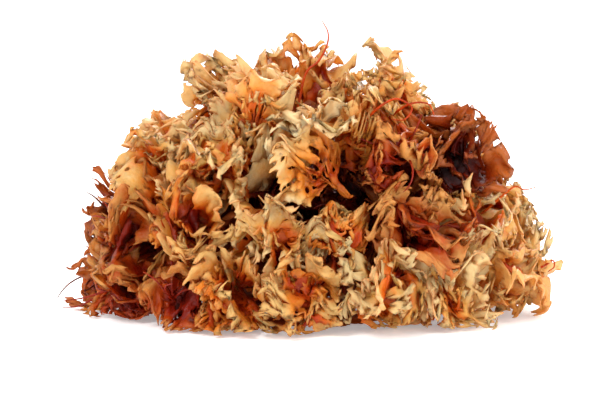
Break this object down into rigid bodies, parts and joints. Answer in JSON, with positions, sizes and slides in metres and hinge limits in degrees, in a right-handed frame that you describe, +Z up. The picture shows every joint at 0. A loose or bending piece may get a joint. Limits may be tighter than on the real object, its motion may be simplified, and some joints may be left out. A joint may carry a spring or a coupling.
{
  "type": "dried irish moss seaweed clump",
  "caption": "Matted clump of dried Irish moss seaweed: forked, fan-shaped fronds with crisped edges, heaped into a low mound that rests on a table.",
  "frame": {"origin": "on the table, on the flat underside of the frond that the clump rests on", "axes": "+X along the clump's length, to the right as seen from the front; -Y the front; +Z up"},
  "size_m": [0.1498, 0.1086, 0.0818],
  "materials": {
    "ivory": "dried, translucent, faint gloss",
    "straw": "dried, translucent, faint gloss",
    "amber": "dried, translucent, faint gloss",
    "russet": "dried, translucent, faint gloss",
    "umber": "dried, translucent, faint gloss"
  },
  "bodies": {
    "root": {"base_frond": "umber", "rim_frond_01": "amber", "rim_frond_02": "straw", "rim_frond_03": "straw", "rim_frond_04": "amber", "rim_frond_05": "straw", "rim_frond_06": "straw", "rim_frond_07": "russet", "rim_frond_08": "straw", "rim_frond_09": "amber", "rim_frond_10": "umber", "rim_frond_11": "straw", "rim_frond_12": "umber", "rim_frond_13": "russet", "rim_frond_14": "russet", "rim_frond_15": "amber", "lower_frond_01": "amber", "lower_frond_02": "russet", "lower_frond_03": "straw", "lower_frond_04": "straw", "lower_frond_05": "straw", "lower_frond_06": "amber", "lower_frond_07": "straw", "lower_frond_08": "umber", "lower_frond_09": "amber", "lower_frond_10": "umber", "lower_frond_11": "russet", "lower_frond_12": "amber", "lower_frond_13": "straw", "upper_frond_01": "ivory", "upper_frond_02": "russet", "upper_frond_03": "umber", "upper_frond_04": "straw", "upper_frond_05": "amber", "upper_frond_06": "straw", "upper_frond_07": "russet", "upper_frond_08": "amber", "upper_frond_09": "straw", "upper_frond_10": "straw", "crown_frond_01": "amber", "crown_frond_02": "straw", "crown_frond_03": "amber", "crown_frond_04": "straw", "crown_frond_05": "straw", "inner_frond_01": "umber", "inner_frond_02": "russet", "inner_frond_03": "umber", "inner_frond_04": "russet", "inner_frond_05": "umber", "heart_frond_01": "umber", "heart_frond_02": "russet", "heart_frond_03": "umber"}
  },
  "joints": []
}
